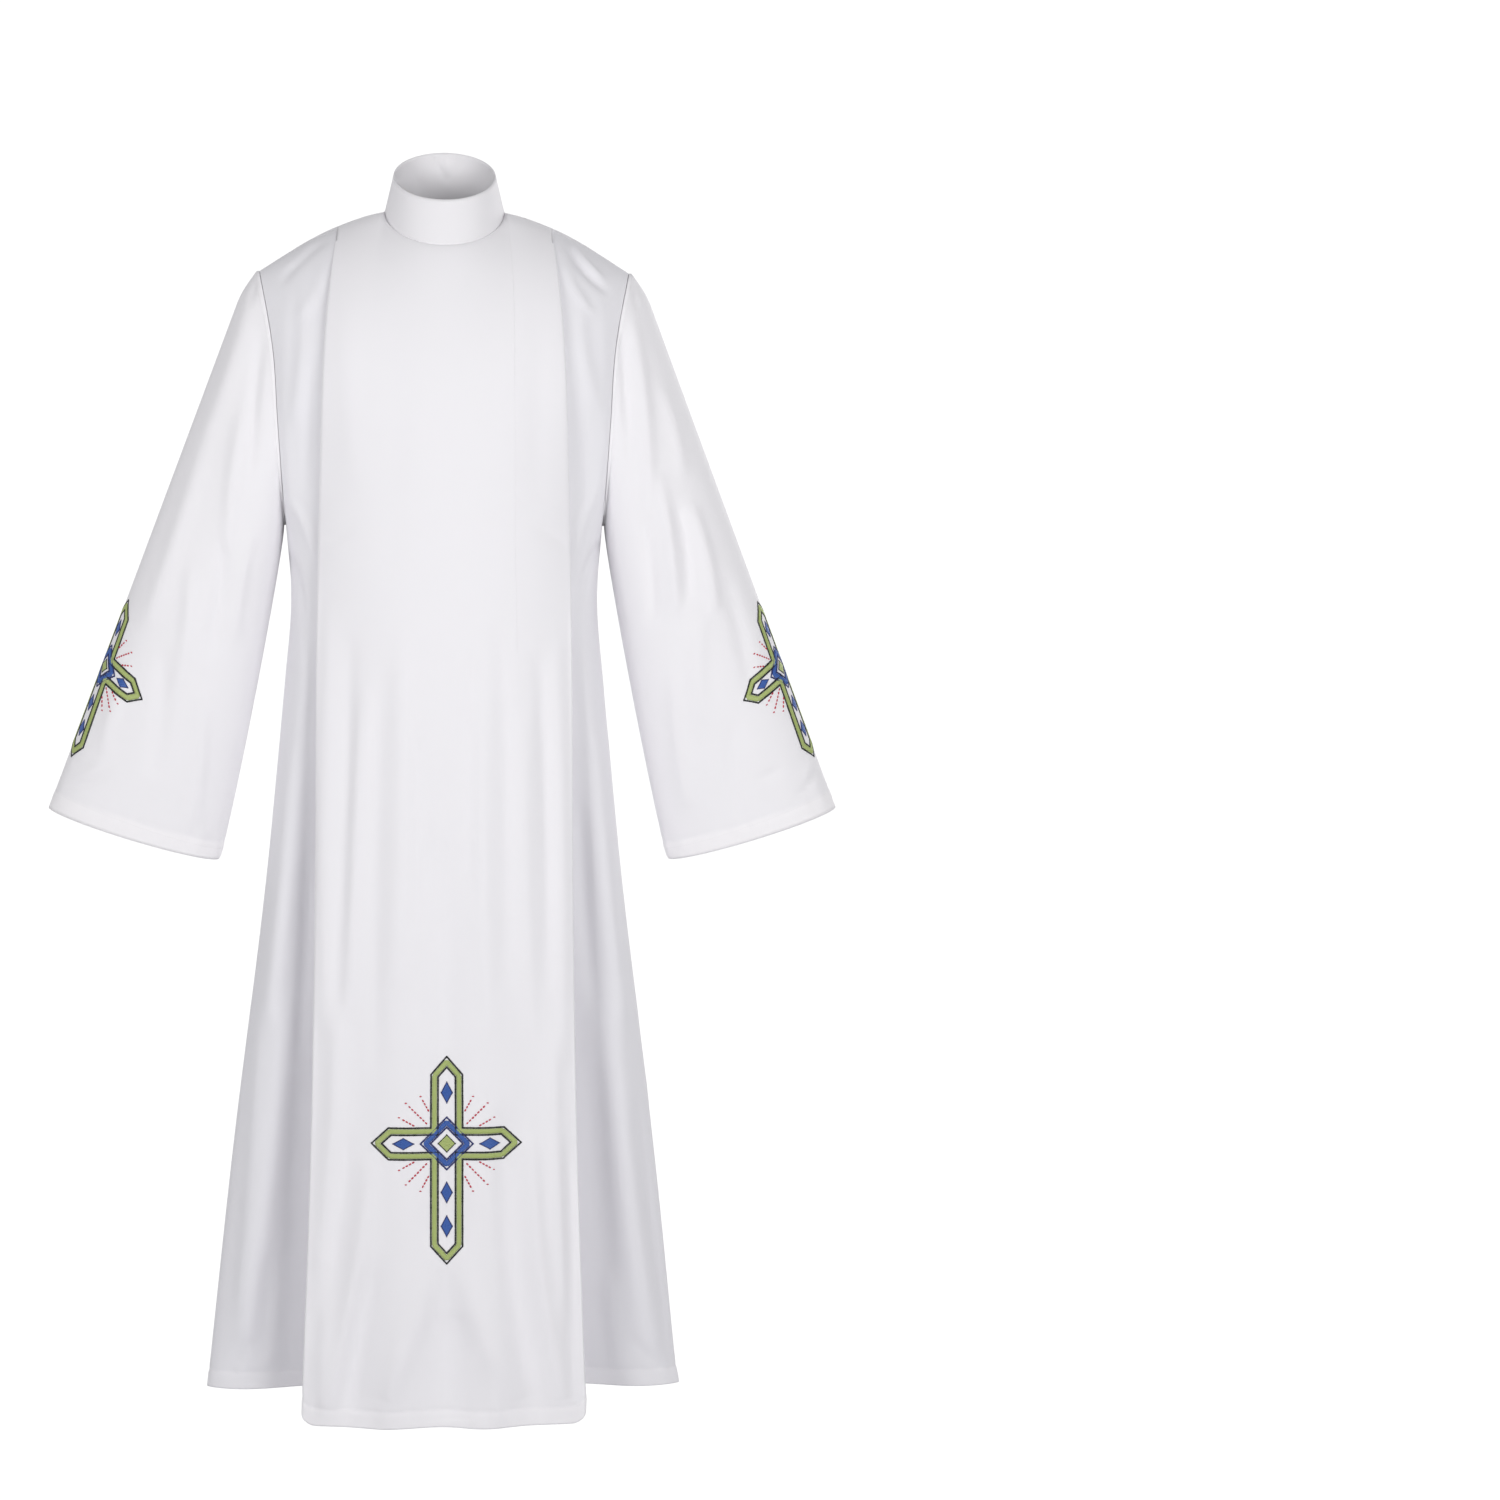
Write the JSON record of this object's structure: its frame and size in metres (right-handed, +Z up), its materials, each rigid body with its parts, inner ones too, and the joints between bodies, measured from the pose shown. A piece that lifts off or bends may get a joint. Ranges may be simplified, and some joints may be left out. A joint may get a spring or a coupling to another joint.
{
  "type": "priest robe",
  "caption": "White ankle-length priest's alb with a stand collar, a pleated front panel, wide sleeves and embroidered crosses, shaped as worn with nobody in it.",
  "frame": {"origin": "midway between the two points where the shoulder seams meet the neckline, where the wearer's shoulders and neck carry the robe", "axes": "+Z up along the robe's length, front towards -Y, wearer's left towards +X"},
  "size_m": [0.936, 0.3057, 1.4991],
  "materials": {
    "cloth": "smooth plain-woven polyester and cotton, off-white, slight sheen",
    "collar_cloth": "the same cloth, stiffened",
    "thread": "white sewing thread",
    "green_thread": "shiny embroidery floss, light olive green",
    "dark_thread": "embroidery floss, dark green",
    "blue_thread": "shiny embroidery floss, blue",
    "red_thread": "embroidery floss, rose red"
  },
  "bodies": {
    "root": {"front_centre": "cloth", "side_front_left": "cloth", "side_front_right": "cloth", "back": "cloth", "sleeve_left": "cloth", "sleeve_right": "cloth", "collar": "collar_cloth"}
  },
  "joints": []
}
